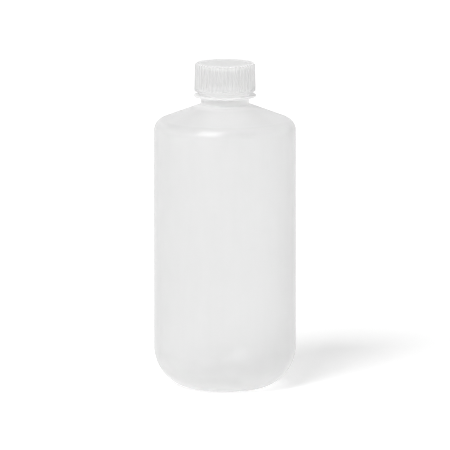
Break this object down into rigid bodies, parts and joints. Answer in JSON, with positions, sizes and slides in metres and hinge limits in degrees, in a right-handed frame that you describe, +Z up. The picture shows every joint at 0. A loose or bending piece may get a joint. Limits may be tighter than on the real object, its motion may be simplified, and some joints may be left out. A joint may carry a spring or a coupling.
{
  "type": "reagent bottle",
  "caption": "Round-shouldered narrow-mouth reagent bottle in translucent natural plastic, with a ribbed screw cap that unscrews and lifts off.",
  "frame": {"origin": "centre of the base, on the plane the bottle stands on", "axes": "+Z up along the bottle's axis, from the base to the cap; the body is round, so X and Y are any two directions across it"},
  "size_m": [0.0738, 0.0738, 0.1702],
  "materials": {
    "natural_plastic": "satin",
    "natural_plastic_cap": "satin",
    "liner_foam": "matte"
  },
  "bodies": {
    "bottle": {"bottle": "natural_plastic"},
    "liner": {"cap_liner": "liner_foam"},
    "cap": {"screw_cap": "natural_plastic_cap"}
  },
  "joints": [
    {"name": "cap_lift", "type": "slide", "parent": "bottle", "child": "liner", "axis": [0, 0, 1], "range_m": [0, 0.02116]},
    {"name": "cap_turn", "type": "hinge", "parent": "liner", "child": "cap", "pos_m": [0, 0, 0.1629], "axis": [0, 0, 1], "range_deg": [0, 1800]}
  ],
  "couplings": [
    {"joint": "cap_turn", "follows": "cap_lift", "rad_per_m": 1484.3}
  ]
}
